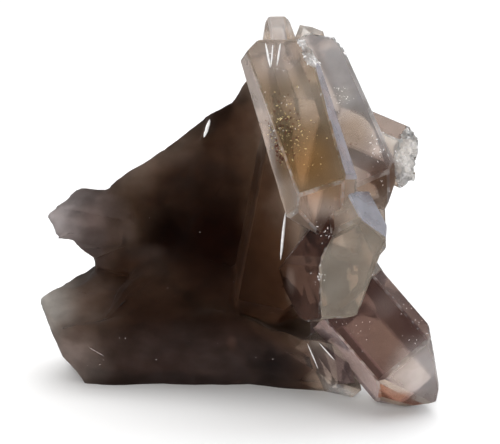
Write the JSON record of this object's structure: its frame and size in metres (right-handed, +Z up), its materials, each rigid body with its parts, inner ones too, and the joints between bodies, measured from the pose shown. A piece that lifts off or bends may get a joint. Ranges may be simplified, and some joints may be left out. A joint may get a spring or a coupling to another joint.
{
  "type": "smoky quartz cluster",
  "caption": "Natural smoky quartz cluster: clear brown prismatic crystals with slanted end faces, grown together on a dark broken mass with a flat base to stand on.",
  "frame": {"origin": "middle of the bounding box, at the height of the flat broken base", "axes": "+X to the right as seen from the front, +Y to the back, +Z up"},
  "size_m": [0.0818, 0.047, 0.0752],
  "materials": {
    "smoky_quartz": "see-through smoky brown quartz, glossy on crystal faces, frosted where broken, near black in the thick mass"
  },
  "bodies": {
    "root": {"quartz_cluster": "smoky_quartz"}
  },
  "joints": []
}
